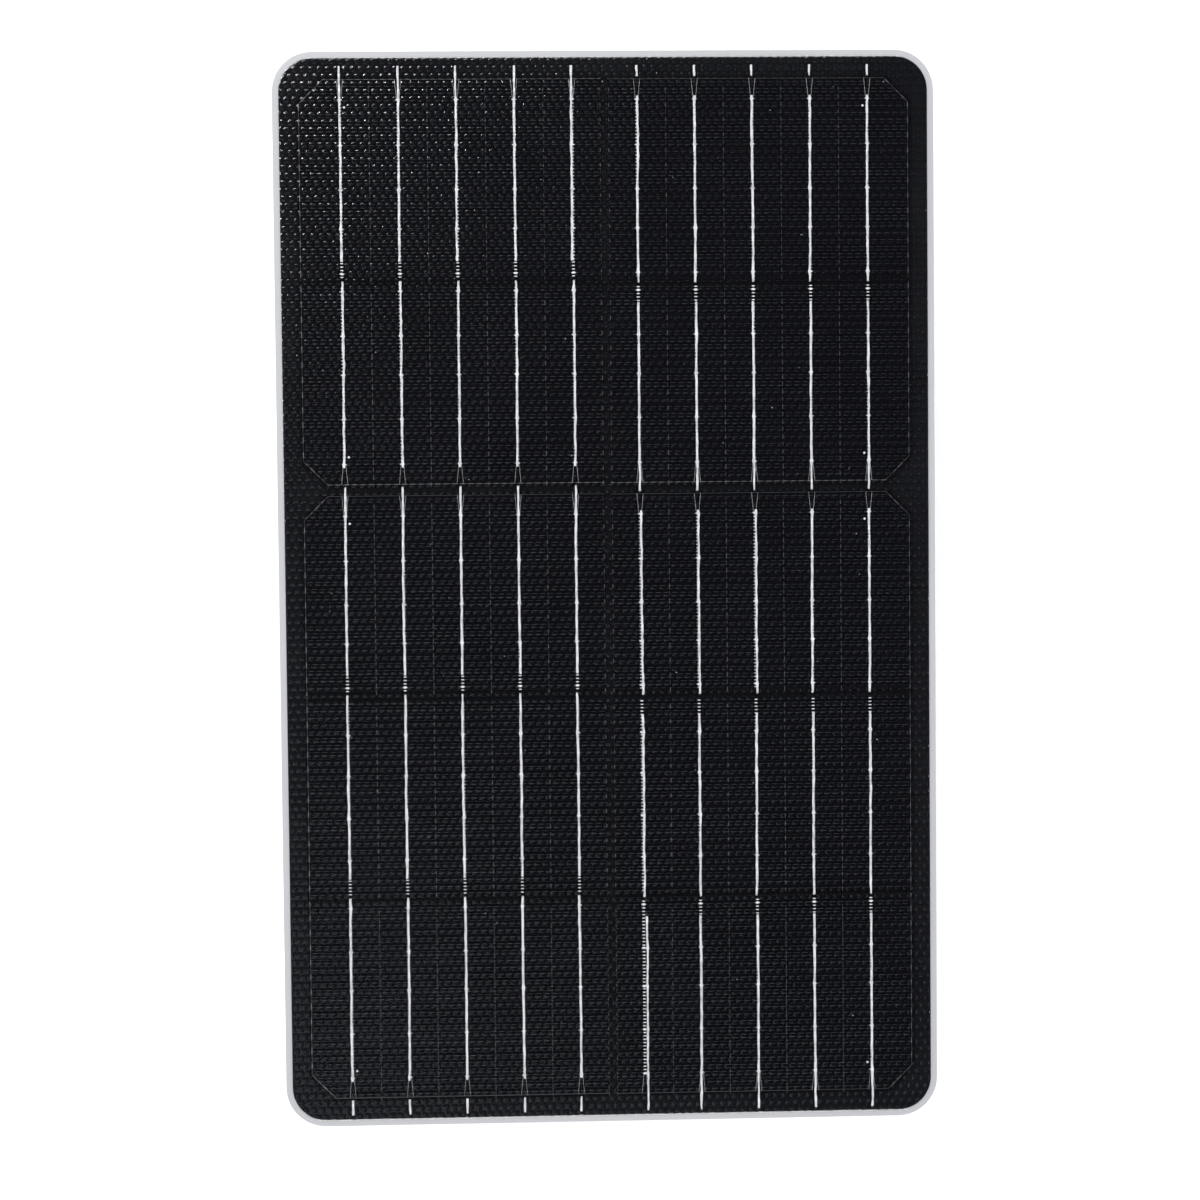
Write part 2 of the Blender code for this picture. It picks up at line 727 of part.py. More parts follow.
def make_gland_seal():
    """A rubber sleeve in the body's mouth, with a cone outside it that the nut squeezes."""
    seal = add_part("gland_seal", gland_cylinder(SEAL_R, (SEAL_X[0], SEAL_STEM_END_X)), "rubber")
    cone_x = (BODY_END_X + CLEARANCE, SEAL_X[1])
    join(seal, gland_cylinder(SEAL_CONE_R[0], cone_x, ROUND, SEAL_CONE_R[1]))
    bore_through(seal, SEAL_BORE_R, SEAL_X)


def make_gland_nut():
    nut = add_part("gland_nut", gland_cylinder(HEX_R, (NUT_X[0], NUT_GRIP_END_X), 6), "black_plastic")
    dome_x = (NUT_GRIP_END_X - NUT_OVERLAP, NUT_X[1])
    join(nut, gland_cylinder(NUT_DOME_R[0], dome_x, ROUND, NUT_DOME_R[1]))
    bore(nut, GLAND_THREAD_R + CLEARANCE, (NUT_X[0] - CUTTER_MARGIN, BODY_END_X + CLEARANCE))
    bore(nut, NUT_CONE_R[0], (BODY_END_X - CLEARANCE, SEAL_X[1] + CLEARANCE), NUT_CONE_R[1])
    bore(nut, NUT_MOUTH_R, (SEAL_X[1] - CUTTER_MARGIN, NUT_X[1] + CUTTER_MARGIN))


make_cells()
make_ribbons()
make_buses()
make_layers()
make_board()
make_box_pad()
make_box_base()
make_box_lid()
make_lid_screws()
for pole, lead_x in (("negative", -LEAD_X), ("positive", LEAD_X)):
    make_lead(pole, lead_x)
    make_terminal(pole, lead_x)
make_diode()
make_gland_body()
make_gland_rings()
make_gland_seal()
make_gland_nut()
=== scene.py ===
"""Looks of the flexible solar sheet: embossed film over cells, ribbons, black sheet and board.

Everything is in metres, in the part's own frame: +X across the sheet, +Y along it towards the
junction box, +Z out of the sunny face, and the board's rear face at z = 0.
"""

import json
import math

import bmesh
import bpy
import numpy as np
from mathutils import Matrix, Vector, noise

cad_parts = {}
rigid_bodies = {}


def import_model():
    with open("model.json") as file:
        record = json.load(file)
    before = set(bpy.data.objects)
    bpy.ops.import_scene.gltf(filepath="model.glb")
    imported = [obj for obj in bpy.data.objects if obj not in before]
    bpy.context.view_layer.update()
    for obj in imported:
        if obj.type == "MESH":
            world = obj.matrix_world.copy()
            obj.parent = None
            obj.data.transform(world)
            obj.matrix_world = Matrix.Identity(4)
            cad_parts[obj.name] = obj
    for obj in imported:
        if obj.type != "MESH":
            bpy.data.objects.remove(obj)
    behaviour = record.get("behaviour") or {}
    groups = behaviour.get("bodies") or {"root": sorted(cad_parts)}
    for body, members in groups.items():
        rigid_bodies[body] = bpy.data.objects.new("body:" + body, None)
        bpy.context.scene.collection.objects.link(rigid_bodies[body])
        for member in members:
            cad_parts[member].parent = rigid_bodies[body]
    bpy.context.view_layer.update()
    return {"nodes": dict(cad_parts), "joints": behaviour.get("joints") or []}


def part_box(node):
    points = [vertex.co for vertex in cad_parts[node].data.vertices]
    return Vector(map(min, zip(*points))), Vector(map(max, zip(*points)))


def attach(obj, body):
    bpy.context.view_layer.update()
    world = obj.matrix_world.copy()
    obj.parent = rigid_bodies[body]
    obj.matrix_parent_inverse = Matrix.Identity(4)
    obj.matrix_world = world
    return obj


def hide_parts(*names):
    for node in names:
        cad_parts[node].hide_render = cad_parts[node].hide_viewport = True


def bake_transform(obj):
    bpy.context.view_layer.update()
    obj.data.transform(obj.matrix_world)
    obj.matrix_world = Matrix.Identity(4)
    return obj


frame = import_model()
MM = 0.001
COLUMNS = {"a": -1, "b": 1}
ROWS = range(1, 6)

# The sheet. Its layers are cut across near each hinge, on both sides of it.
FACE_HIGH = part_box("front_cover_film")[1]
HALF_W = FACE_HIGH.x
HALF_L = FACE_HIGH.y
FACE_R = 10.0 * MM
BEND_REACH = 5.0 * MM
BEND_CUTS = 5
# (parent body, child body, y) of each hinge between two rows.
HINGES = [(j["parent"], j["child"], j["pos_m"][1]) for j in frame["joints"]]

# The film's embossing: rows of pillows, every other row shifted by half a pillow.
PILLOWS_ACROSS = 78
PILLOWS_ALONG = 142
PILLOW_W = 2 * HALF_W / PILLOWS_ACROSS
PILLOW_L = 2 * HALF_L / PILLOWS_ALONG
# Grid steps to a pillow.
STEPS_ACROSS = 6
STEPS_ALONG = 5
EMBOSS_DEPTH = 0.113 * MM
# The share of a pillow that is flat, and how square it is: 2 would be an ellipse.
PILLOW_TOP = 0.38
PILLOW_SQUARENESS = 2.4
# A pillow's depth as a share of EMBOSS_DEPTH: the least, and how much more at random.
PILLOW_LEAST = 0.97
PILLOW_SPREAD = 0.06
VALLEY_DEPTH = 1.1 * EMBOSS_DEPTH
# The rounded outer edge: how far in it reaches, and how far it drops.
COVER_ROUND = 0.8 * MM
COVER_DROP = 0.16 * MM

# Lines printed on the cells: fingers across, and an outline inside the uncut edges.
FINGER_PITCH = 1.03 * MM
FINGER_W = 0.045 * MM
FRAME_INSET = 0.77 * MM
FRAME_W = 0.10 * MM
OUTLINE_TURN = 7.2 * MM
# Dashes beside the cut that halved a wafer, and half-way between busbars.
CUT_INSET = 0.2 * MM
DASH_PITCH = 2.25 * MM
DASH_W = 0.06 * MM
CUT_DASH = 0.55 * DASH_PITCH
MIDDLE_DASH = 0.6 * DASH_PITCH
# The uncut edge of each row's cells. Row 4 is from the middle of its wafers and has none.
FACTORY_EDGE = {1: "top", 2: "bottom", 3: "top", 5: "bottom"}
BUSBARS = 5
BUSBAR_PITCH = 17.32 * MM
# A busbar starts with a fork. Its prongs are this far aside at the root and at the tips.
FORK_L = 6.4 * MM
FORK_W = 0.045 * MM
FORK_HALF = (0.42 * MM, 0.95 * MM)
# Half the width and half the length of a busbar's teeth and of its solder pads.
TOOTH = (0.42 * MM, 0.14 * MM)
PAD = (0.8 * MM, 0.4 * MM)
# The pads' distances from the uncut edge, or from the top of a piece that has none.
PADS_FROM_FACTORY_EDGE = (6.8 * MM, 20.3 * MM, 33.5 * MM, 45.2 * MM, 58.5 * MM)
PADS_OF_MIDDLE_PIECE = (11.3 * MM, 23.7 * MM, 36.5 * MM, 49.2 * MM)
# The locating mark's distances from the outer edge and from the uncut end.
MARK_PLACE = (14.4 * MM, 9.0 * MM)
MARK_R = 0.33 * MM
DISC_SIDES = 12
# Specks on each cell: how many, their radii, and the margins they keep across and along.
SPECKS = 6
SPECK_R = (0.06 * MM, 0.14 * MM)
SPECK_MARGIN = (8 * MM, 1 * MM)
# Heights of the lines, of the teeth, forks and specks, and of the pads and marks.
PRINT_T = 0.015 * MM
TOOTH_T = 0.018 * MM
PAD_T = 0.024 * MM

# Ribbons. They stop short of a cell's last edge by one length on its front, another on its back.
RIBBON_W = 0.6 * MM
RIBBON_T = 0.15 * MM
RIBBON_END = 5.8 * MM
REAR_RIBBON_END = 6.0 * MM
RIBBON_STEP = 0.5 * MM
# How far past a cell's edge a ribbon starts to climb or dive.
JOGGLE = 0.1 * MM
# How far the top and the bottom of a ribbon's section stand in from its sides.
SHOULDER = 0.12 * MM
FOOT = 0.08 * MM
# Reach and size of the swelling of solder at a pad.
BULGE = (0.5 * MM, 0.16 * MM)
# Slow and quick waves, (seed, size, length), of a ribbon's course and of each of its edges.
COURSE_WAVES = ((0, 0.25 * MM, 40 * MM), (3, 0.12 * MM, 6 * MM))
EDGE_WAVES = ((10, 0.15 * MM, 3.1 * MM), (17, 0.12 * MM, 1.1 * MM))
# How far a few ribbons lie beside their busbar: (column, row, busbar from the middle).
LAID_ASIDE = {
    ("a", 1, 0): -0.3 * MM,
    ("b", 1, 0): 0.1 * MM,
    ("b", 3, 0): 0.3 * MM,
    ("b", 3, 1): 0.3 * MM,
    ("b", 3, 2): 0.25 * MM,
    ("b", 4, 0): 0.25 * MM,
    ("b", 4, 1): 0.15 * MM,
    ("b", 5, 0): 0.85 * MM,
}
# The tie across the ribbons' rear ends, and the buses. Both sides of a bus are measured inwards
# from the outer edge of its CAD node.
TIE_W = 2.0 * MM
BUS_T = 0.18 * MM
BUS_SIDES = (0.2 * MM, 4.2 * MM)


# ---- node materials -------------------------------------------------------------------------


class Nodes:
    """Short ways to lay out a material's nodes."""

    def __init__(self, name):
        self.material = bpy.data.materials.new(name)
        self.material.use_nodes = True
        self.tree = self.material.node_tree
        self.tree.nodes.clear()
        self.output = self.tree.nodes.new("ShaderNodeOutputMaterial")
        self.place = self.tree.nodes.new("ShaderNodeTexCoord").outputs["Object"]

    def add(self, kind, links=(), **settings):
        """A shader node. Settings are its own properties, or inputs with _ for each space."""
        node = self.tree.nodes.new("ShaderNode" + kind)
        for key, value in settings.items():
            if hasattr(node, key):
                setattr(node, key, value)
            else:
                node.inputs[key.replace("_", " ")].default_value = value
        for socket, source in dict(links).items():
            self.link(source, node.inputs[socket])
        return node

    def link(self, source, socket):
        """Feeds a socket from another one, or with a number or a colour of its own."""
        if isinstance(source, (int, float)):
            socket.default_value = source
        elif isinstance(source, tuple):
            socket.default_value = (*source, 1)
        else:
            self.tree.links.new(source, socket)

    def math(self, operation, first, second=0.0, third=0.0):
        node = self.add("Math", operation=operation)
        for socket, source in zip(node.inputs, (first, second, third)):
            self.link(source, socket)
        return node.outputs[0]

    def noise(self, scale, detail, place=None):
        links = {"Vector": place or self.place}
        return self.add("TexNoise", links, Scale=scale, Detail=detail).outputs["Fac"]

    def stretched(self, x, y, z):
        """The place in the object, with its axes scaled."""
        return self.add("Mapping", {"Vector": self.place}, Scale=(x, y, z)).outputs["Vector"]

    def ramp(self, source, low, high, first, last):
        """A number spread from low-high to first-last."""
        links = enumerate((source, low, high, first, last))
        return self.add("MapRange", links).outputs[0]

    def tint(self, factor, dark, light):
        """A colour from dark to light, which are colours or sockets."""
        node = self.add("Mix", data_type="RGBA")
        for socket, source in zip((0, 6, 7), (factor, dark, light)):
            self.link(source, node.inputs[socket])
        return node.outputs[2]

    def bump(self, height, distance):
        return self.add("Bump", {"Height": height}, Distance=distance).outputs["Normal"]

    def principled(self, colour, roughness, normal, **numbers):
        links = {"Base Color": colour, "Roughness": roughness, "Normal": normal}
        return self.surface(self.add("BsdfPrincipled", links, **numbers))

    def mixed(self, factor, first, second):
        """The material from two shaders, the first where the factor is 0 and the second where it is 1."""
        links = {0: factor, 1: first.outputs[0], 2: second.outputs[0]}
        return self.surface(self.add("MixShader", links))

    def surface(self, shader):
        self.tree.links.new(shader.outputs[0], self.output.inputs["Surface"])
        return self.material

    def painted_pillow_light(self):
        """Painted light: how much light the embossed film would gather at a point under it, high under
        each pillow, for painting into the colours below it.
        """
        split = self.add("SeparateXYZ", {0: self.place})
        along = self.math("DIVIDE", split.outputs["Y"], PILLOW_L)
        # The count of rows is kept above zero, since MODULO gives -1 for odd rows below it.
        odd = self.math("MODULO", self.math("FLOOR", self.math("ADD", along, 1000.0)), 2.0)
        across = self.math("DIVIDE", split.outputs["X"], PILLOW_W)
        across = self.math("MULTIPLY_ADD", odd, 0.5, across)
        share = []
        for number, reach in ((across, 0.30), (along, 0.36)):
            centred = self.math("ABSOLUTE", self.math("SUBTRACT", self.math("FRACT", number), 0.5))
            share.append(self.ramp(centred, reach - 0.12, reach + 0.08, 1.0, 0.0))
        return self.math("MULTIPLY", *share)


def plastic(name, colour, roughness, grain=1400.0, depth=0.03 * MM):
    """Moulded plastic: a fine spark-eroded grain, with slightly uneven colour and gloss."""
    n = Nodes(name)
    cloud = n.noise(60.0, 4.0)
    fine = n.noise(grain, 2.0)
    light = tuple(c * 1.35 + 0.004 for c in colour)
    rough = n.ramp(cloud, 0.3, 0.7, roughness - 0.07, roughness + 0.09)
    return n.principled(n.tint(cloud, colour, light), rough, n.bump(fine, depth))


def metal(name, dark, light, roughness):
    """Drawn or rolled metal, with fine lines along it and patches of duller surface."""
    n = Nodes(name)
    lines = n.noise(1.0, 3.0, n.stretched(900.0, 60.0, 900.0))
    cloud = n.noise(120.0, 4.0)
    rough = n.ramp(cloud, 0.3, 0.7, roughness - 0.08, roughness + 0.12)
    normal = n.bump(lines, 0.02 * MM)
    return n.principled(n.tint(lines, dark, light), rough, normal, Metallic=1.0)


def cover_material():
    """Clear film: what lies under it shows through, and only its outer face reflects."""
    n = Nodes("embossed_clear_film")
    normal = n.bump(n.noise(2600.0, 2.0), 0.004 * MM)
    rough = n.ramp(n.noise(35.0, 3.0), 0.3, 0.7, 0.12, 0.16)
    gloss = n.add("BsdfGlossy", {"Roughness": rough, "Normal": normal})
    fresnel = n.add("Fresnel", {"Normal": normal}, IOR=1.42)
    inside = n.add("NewGeometry").outputs["Backfacing"]
    factor = n.math("MULTIPLY", fresnel.outputs[0], n.math("SUBTRACT", 1.0, inside))
    return n.mixed(factor, n.add("BsdfTransparent"), gloss)


def clear_resin_material():
    """Cured clear film with the faintest milkiness in patches."""
    n = Nodes("clear_resin")
    haze = n.ramp(n.noise(60.0, 3.0), 0.4, 0.7, 0.0, 0.001)
    return n.mixed(haze, n.add("BsdfTransparent"), n.add("BsdfDiffuse", Color=(0.5, 0.5, 0.5, 1)))


def silicon_material():
    """Textured black cells with an uneven coating, and painted light: lighter where the pillows would
    gather light on it.
    """
    n = Nodes("black_silicon")
    streaks = n.noise(1.0, 3.0, n.stretched(30.0, 400.0, 30.0))
    cloud = n.noise(18.0, 4.0)
    mottle = n.math("MULTIPLY_ADD", streaks, 0.5, n.math("MULTIPLY", cloud, 0.5))
    mottle_and_painted_light = n.math("MULTIPLY", n.ramp(mottle, 0.35, 0.65, 0.2, 1.0), n.painted_pillow_light())
    # Painted light under each pillow, mixed with the coating's real mottle.
    colour = n.tint(mottle_and_painted_light, (0.0013, 0.0014, 0.0022), (0.0033, 0.0036, 0.0053))
    return n.principled(colour, 0.5, n.bump(streaks, 0.005 * MM), Specular_IOR_Level=0.02)


def finger_material():
    """Hair-thin printed lines with painted light: bright only where the film's pillows would gather light
    on them.
    """
    n = Nodes("printed_fingers")
    cloud = n.noise(90.0, 3.0)
    patchiness_and_painted_light = n.math("MULTIPLY", n.ramp(cloud, 0.35, 0.65, 0.35, 1.0), n.painted_pillow_light())
    # Painted light: the lines are pale under each pillow and near black between pillows, with random
    # patches.
    colour = n.tint(patchiness_and_painted_light, (0.02, 0.021, 0.024), (0.28, 0.287, 0.31))
    return n.principled(colour, 0.30, n.bump(cloud, 0.004 * MM), Metallic=0.93)


def silver_material():
    """Printed silver paste: grainy, dull and pale."""
    n = Nodes("printed_silver")
    grain = n.noise(2200.0, 3.0)
    colour = n.tint(n.ramp(grain, 0.35, 0.65, 0.0, 1.0), (0.36, 0.364, 0.38), (0.60, 0.605, 0.625))
    return n.principled(colour, 0.5, n.bump(grain, 0.004 * MM), Specular_IOR_Level=0.1)


def outline_material():
    """Thin outline of a cell with painted light: bright under the pillows, dimmer between them."""
    n = Nodes("printed_outline")
    grain = n.noise(1500.0, 3.0)
    patchiness_and_painted_light = n.math("MULTIPLY", n.ramp(grain, 0.3, 0.7, 0.6, 1.0), n.painted_pillow_light())
    # Painted light under each pillow, with a random grain.
    colour = n.tint(patchiness_and_painted_light, (0.12, 0.122, 0.13), (0.60, 0.608, 0.64))
    return n.principled(colour, 0.30, n.bump(grain, 0.004 * MM), Metallic=0.85)


def ribbon_material():
    """Tinned copper ribbon: bright solder with dull patches and fine draw lines."""
    n = Nodes("tinned_ribbon")
    lines = n.noise(1.0, 3.0, n.stretched(5000.0, 250.0, 900.0))
    cloud = n.noise(420.0, 4.0)
    blend = n.math("MULTIPLY_ADD", lines, 0.45, n.math("MULTIPLY", cloud, 0.55))
    colour = n.tint(n.ramp(blend, 0.38, 0.6, 0.0, 1.0), (0.32, 0.325, 0.34), (0.54, 0.545, 0.56))
    normal = n.bump(blend, 0.03 * MM)
    rough = n.ramp(cloud, 0.3, 0.7, 0.35, 0.55)
    return n.principled(colour, rough, normal, Specular_IOR_Level=0.15)


def black_sheet_material():
    """Matt black sheet with painted light: a touch lighter where the film's pillows would gather light on
    it.
    """
    n = Nodes("black_backsheet")
    cloud = n.noise(25.0, 4.0)
    shade = n.math("MULTIPLY", cloud, n.painted_pillow_light())
    # The lighter tone under each pillow is painted light, on top of random clouds.
    colour = n.tint(shade, (0.0028, 0.0030, 0.0040), (0.0058, 0.0062, 0.0080))
    return n.principled(colour, 0.6, n.bump(cloud, 0.01 * MM), Specular_IOR_Level=0.02)


def board_material(name, shaded_rim_tone, rear_tone):
    """White board: faint clouds of tone, the weave of its glass cloth, and painted shade: faces that look
    up take the greyer rim tone, faces that look down the whiter rear tone.
    """
    n = Nodes(name)
    split = n.add("SeparateXYZ", {0: n.place})
    thread_pitch = 0.9 * MM
    waves = []
    for axis in "XY":
        turns = n.math("MULTIPLY", split.outputs[axis], 2 * math.pi / thread_pitch)
        waves.append(n.math("SINE", turns))
    weave = n.math("MULTIPLY", *waves)
    cloud = n.noise(30.0, 4.0)
    shade = n.math("MULTIPLY_ADD", weave, 0.04, cloud)
    facing = n.add("SeparateXYZ", {0: n.add("NewGeometry").outputs["Normal"]})
    # Painted shade: faces that look up get the greyer rim tone, faces that look down the whiter rear
    # tone.
    rear = n.ramp(facing.outputs["Z"], -0.9, -0.6, 1.0, 0.0)
    tones = []
    for tone in (shaded_rim_tone, rear_tone):
        tones.append(n.tint(shade, tuple(c * 0.93 for c in tone), tone))
    rough = n.ramp(cloud, 0.3, 0.7, 0.42, 0.55)
    normal = n.bump(weave, 0.004 * MM)
    return n.principled(n.tint(rear, *tones), rough, normal, Specular_IOR_Level=0.3)


def foam_material():
    """Foam tape: pores of about half a millimetre, with painted shade darker towards each pore's middle.
    """
    n = Nodes("foam_tape")
    pores = n.add("TexVoronoi", {"Vector": n.place}, Scale=2200.0).outputs["Distance"]
    # Painted shade: darker towards each pore's middle, where the bump sinks.
    colour = n.tint(pores, (0.03, 0.03, 0.033), (0.085, 0.085, 0.09))
    return n.principled(colour, 0.9, n.bump(pores, 0.08 * MM))


MATERIALS = {
    "cover": cover_material(),
    "resin": clear_resin_material(),
    "silicon": silicon_material(),
    "fingers": finger_material(),
    "outline": outline_material(),
    "silver": silver_material(),
    "ribbon": ribbon_material(),
    "black_sheet": black_sheet_material(),
    # The first tone of each board is painted shade on its white front rim.
    "board": board_material("white_board", (0.25, 0.253, 0.263), (0.62, 0.625, 0.64)),
    "bond": board_material("white_bond", (0.33, 0.333, 0.345), (0.52, 0.525, 0.54)),
    "box": plastic("black_moulded_plastic", (0.018, 0.018, 0.020), 0.42),
    "gland": plastic("black_nylon", (0.020, 0.020, 0.022), 0.36, 2200.0, 0.015 * MM),
    "rubber": plastic("black_rubber", (0.022, 0.022, 0.022), 0.75, 900.0, 0.05 * MM),
    "foam": foam_material(),
    "epoxy": plastic("diode_epoxy", (0.024, 0.024, 0.026), 0.4, 3000.0),
    "copper": metal("bare_copper", (0.60, 0.30, 0.18), (0.88, 0.52, 0.36), 0.35),
    "brass": metal("machined_brass", (0.56, 0.40, 0.16), (0.80, 0.62, 0.32), 0.33),
    "steel": metal("plated_steel", (0.42, 0.43, 0.45), (0.72, 0.73, 0.75), 0.3),
}


def dress(obj, material):
    obj.data.materials.clear()
    obj.data.materials.append(MATERIALS[material])


# ---- building -------------------------------------------------------------------------------


def piece_from(shape, name, material):
    """A new piece from a bmesh, which is freed."""
    mesh = bpy.data.meshes.new(name)
    shape.to_mesh(mesh)
    shape.free()
    obj = bpy.data.objects.new(name, mesh)
    bpy.context.scene.collection.objects.link(obj)
    dress(obj, material)
    return obj


def bend_with(obj, parent, child, y):
    """Bakes the piece's place into its mesh."""
    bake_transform(obj)


def seam(row):
    """The line across the middle of a row where the stretches of each layer meet, between two pillows."""
    low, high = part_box(f"cell_a{row}")
    return round((low.y + high.y) / 2 / PILLOW_L) * PILLOW_L


# (name, lowest y, highest y, hinge) of the four stretches of each layer.
STRETCHES = []
for parent, child, hinge_y in HINGES:
    upper, lower = sorted((int(parent[-1]), int(child[-1])))
    bottom = -math.inf if lower == 5 else seam(lower)
    top = math.inf if upper == 1 else seam(upper)
    STRETCHES.append((f"{upper}_{lower}", bottom, top, (parent, child, hinge_y)))


# ---- flat layers ----------------------------------------------------------------------------


def layer_shape(node, sealed):
    """The CAD layer's own shape as one welded bmesh. A sealed layer has no slits left open."""
    shape = bmesh.new()
    mesh = frame["nodes"][node].data
    if sealed:
        for vertex in mesh.vertices:
            shape.verts.new(vertex.co)
        bmesh.ops.remove_doubles(shape, verts=shape.verts, dist=1e-6)
        bmesh.ops.convex_hull(shape, input=shape.verts)
        bmesh.ops.delete(shape, geom=[v for v in shape.verts if not v.link_faces])
    else:
        shape.from_mesh(mesh)
        bmesh.ops.remove_doubles(shape, verts=shape.verts, dist=1e-6)
    return shape


def round_outer_edge(shape, width):
    """Rounds the edges that run round the layer's outline."""
    low_z = min(v.co.z for v in shape.verts)
    high_z = max(v.co.z for v in shape.verts)
    half_w = max(v.co.x for v in shape.verts)
    half_l = max(v.co.y for v in shape.verts)
    radius = FACE_R + half_w - HALF_W

    def on_outline(vert):
        over_x = abs(vert.co.x) - (half_w - radius)
        over_y = abs(vert.co.y) - (half_l - radius)
        reach = math.hypot(max(over_x, 0), max(over_y, 0)) + min(max(over_x, over_y), 0)
        return abs(reach - radius) < 0.05 * MM

    rims = []
    for edge in shape.edges:
        first, second = edge.verts
        level = abs(first.co.z - second.co.z) < 1e-6 and first.co.z in (low_z, high_z)
        if level and len(edge.link_faces) == 2 and on_outline(first) and on_outline(second):
            if edge.calc_face_angle(0) > math.radians(60):
                rims.append(edge)
    bmesh.ops.bevel(shape, geom=rims, offset=width, segments=3, profile=0.5, affect="EDGES")


def cut_across(shape, y, keep=0):
    """Cuts the shape at y. keep 1 keeps what lies above, -1 what lies below, 0 both."""
    made = bmesh.ops.bisect_plane(
        shape,
        geom=shape.verts[:] + shape.edges[:] + shape.faces[:],
        dist=1e-7,
        plane_co=(0, y, 0),
        plane_no=(0, 1, 0),
        clear_outer=keep == -1,
        clear_inner=keep == 1,
    )
    if keep:
        edges = [item for item in made["geom_cut"] if isinstance(item, bmesh.types.BMEdge)]
        bmesh.ops.holes_fill(shape, edges=edges)


def make_layer(node, material, rounding=0.0, sealed=False):
    """A flat layer in four stretches, one for each hinge, with cuts across it near the hinge."""
    for name, bottom, top, (parent, child, hinge_y) in STRETCHES:
        shape = layer_shape(node, sealed)
        if rounding:
            round_outer_edge(shape, rounding)
        if bottom > -math.inf:
            cut_across(shape, bottom, 1)
        if top < math.inf:
            cut_across(shape, top, -1)
        for step in range(-BEND_CUTS, BEND_CUTS + 1):
            cut_across(shape, hinge_y + step * BEND_REACH / BEND_CUTS)
        bmesh.ops.recalc_face_normals(shape, faces=shape.faces)
        piece = piece_from(shape, f"{node}_{name}", material)
        piece.data.shade_smooth()
        piece.data.set_sharp_from_angle(angle=math.radians(32))
        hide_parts(node)
        bend_with(piece, parent, child, hinge_y)


# ---- embossed cover -------------------------------------------------------------------------


def pillow_profile(across, along):
    """1 on a pillow's flat top, 0 in the valleys round it. Both numbers count pillows."""
    u = np.abs(2 * (across % 1) - 1)
    v = np.abs(2 * (along % 1) - 1)
    reach = (u**PILLOW_SQUARENESS + v**PILLOW_SQUARENESS) ** (1 / PILLOW_SQUARENESS)
    rise = np.clip((1 - reach) / (1 - PILLOW_TOP), 0, 1)
    return rise * rise * (3 - 2 * rise)


def cover_height(x, y):
    """Height of the cover's outer face: pillows, and a rounded drop along the sheet's outline."""
    row = np.floor(y / PILLOW_L)
    across = x / PILLOW_W + 0.5 * (row % 2)
    pillow = pillow_profile(across, y / PILLOW_L)
    uneven = np.sin(np.floor(across) * 12.9898 + row * 78.233) * 43758.5453 % 1
    depth = EMBOSS_DEPTH * (PILLOW_LEAST + PILLOW_SPREAD * uneven)
    over_x = np.abs(x) - (HALF_W - FACE_R)
    over_y = np.abs(y) - (HALF_L - FACE_R)
    corner = np.hypot(np.maximum(over_x, 0), np.maximum(over_y, 0))
    inside = FACE_R - corner - np.minimum(np.maximum(over_x, over_y), 0)
    near = 1 - np.clip(inside / COVER_ROUND, 0, 1)
    return FACE_HIGH.z - VALLEY_DEPTH + depth * pillow - COVER_DROP * near * near


def cover_normals(x, y):
    """The outer face's normals, one row for each point."""
    small = 1e-6
    slope_x = (cover_height(x + small, y) - cover_height(x - small, y)) / (2 * small)
    slope_y = (cover_height(x, y + small) - cover_height(x, y - small)) / (2 * small)
    normals = np.stack([-slope_x, -slope_y, np.ones_like(x)], axis=-1).reshape(-1, 3)
    return normals / np.linalg.norm(normals, axis=1)[:, None]


def cover_rows(bottom, top):
    """The y of each grid row, closer together where the sheet's corners turn fast."""
    step = PILLOW_L / STEPS_ALONG
    low = max(bottom, -HALF_L)
    high = min(top, HALF_L)
    count = round((high - low) / step)
    rows = [low + (high - low) * n / count for n in range(count + 1)]
    ends = [HALF_L - FACE_R + FACE_R * math.sin(math.radians(t)) for t in range(60, 90, 4)]
    for end in ends:
        for y in (end, -end):
            if low < y < high and abs(y) > HALF_L - 2 * step:
                rows.append(y)
    return np.array(sorted(rows))


def half_width(y):
    """Half the sheet's width at y, less where its corners are rounded."""
    over = np.maximum(np.abs(y) - (HALF_L - FACE_R), 0)
    return HALF_W - FACE_R + np.sqrt(np.maximum(FACE_R**2 - over**2, 0))


def slab_faces(rows, columns):
    """Faces of the grid on top, and of the underside, walls and ends that close it.

    The grid's points come first, row by row, then the underside's left and right points.
    """
    wide = columns + 1
    first_left = rows * wide
    first_right = first_left + rows
    low = (np.arange(rows - 1)[:, None] * wide + np.arange(columns)[None, :]).ravel()
    top = np.stack([low, low + 1, low + 1 + wide, low + wide], axis=-1).tolist()
    sides = []
    for row in range(rows - 1):
        left, right = first_left + row, first_right + row
        near, far = row * wide, (row + 1) * wide
        sides.append([left, left + 1, right + 1, right])
        sides.append([near, far, left + 1, left])
        sides.append([far + columns, near + columns, right, right + 1])
    last = rows - 1
    sides.append([first_left, first_right, *range(columns, -1, -1)])
    sides.append([first_right + last, first_left + last, *range(last * wide, last * wide + wide)])
    return top, sides


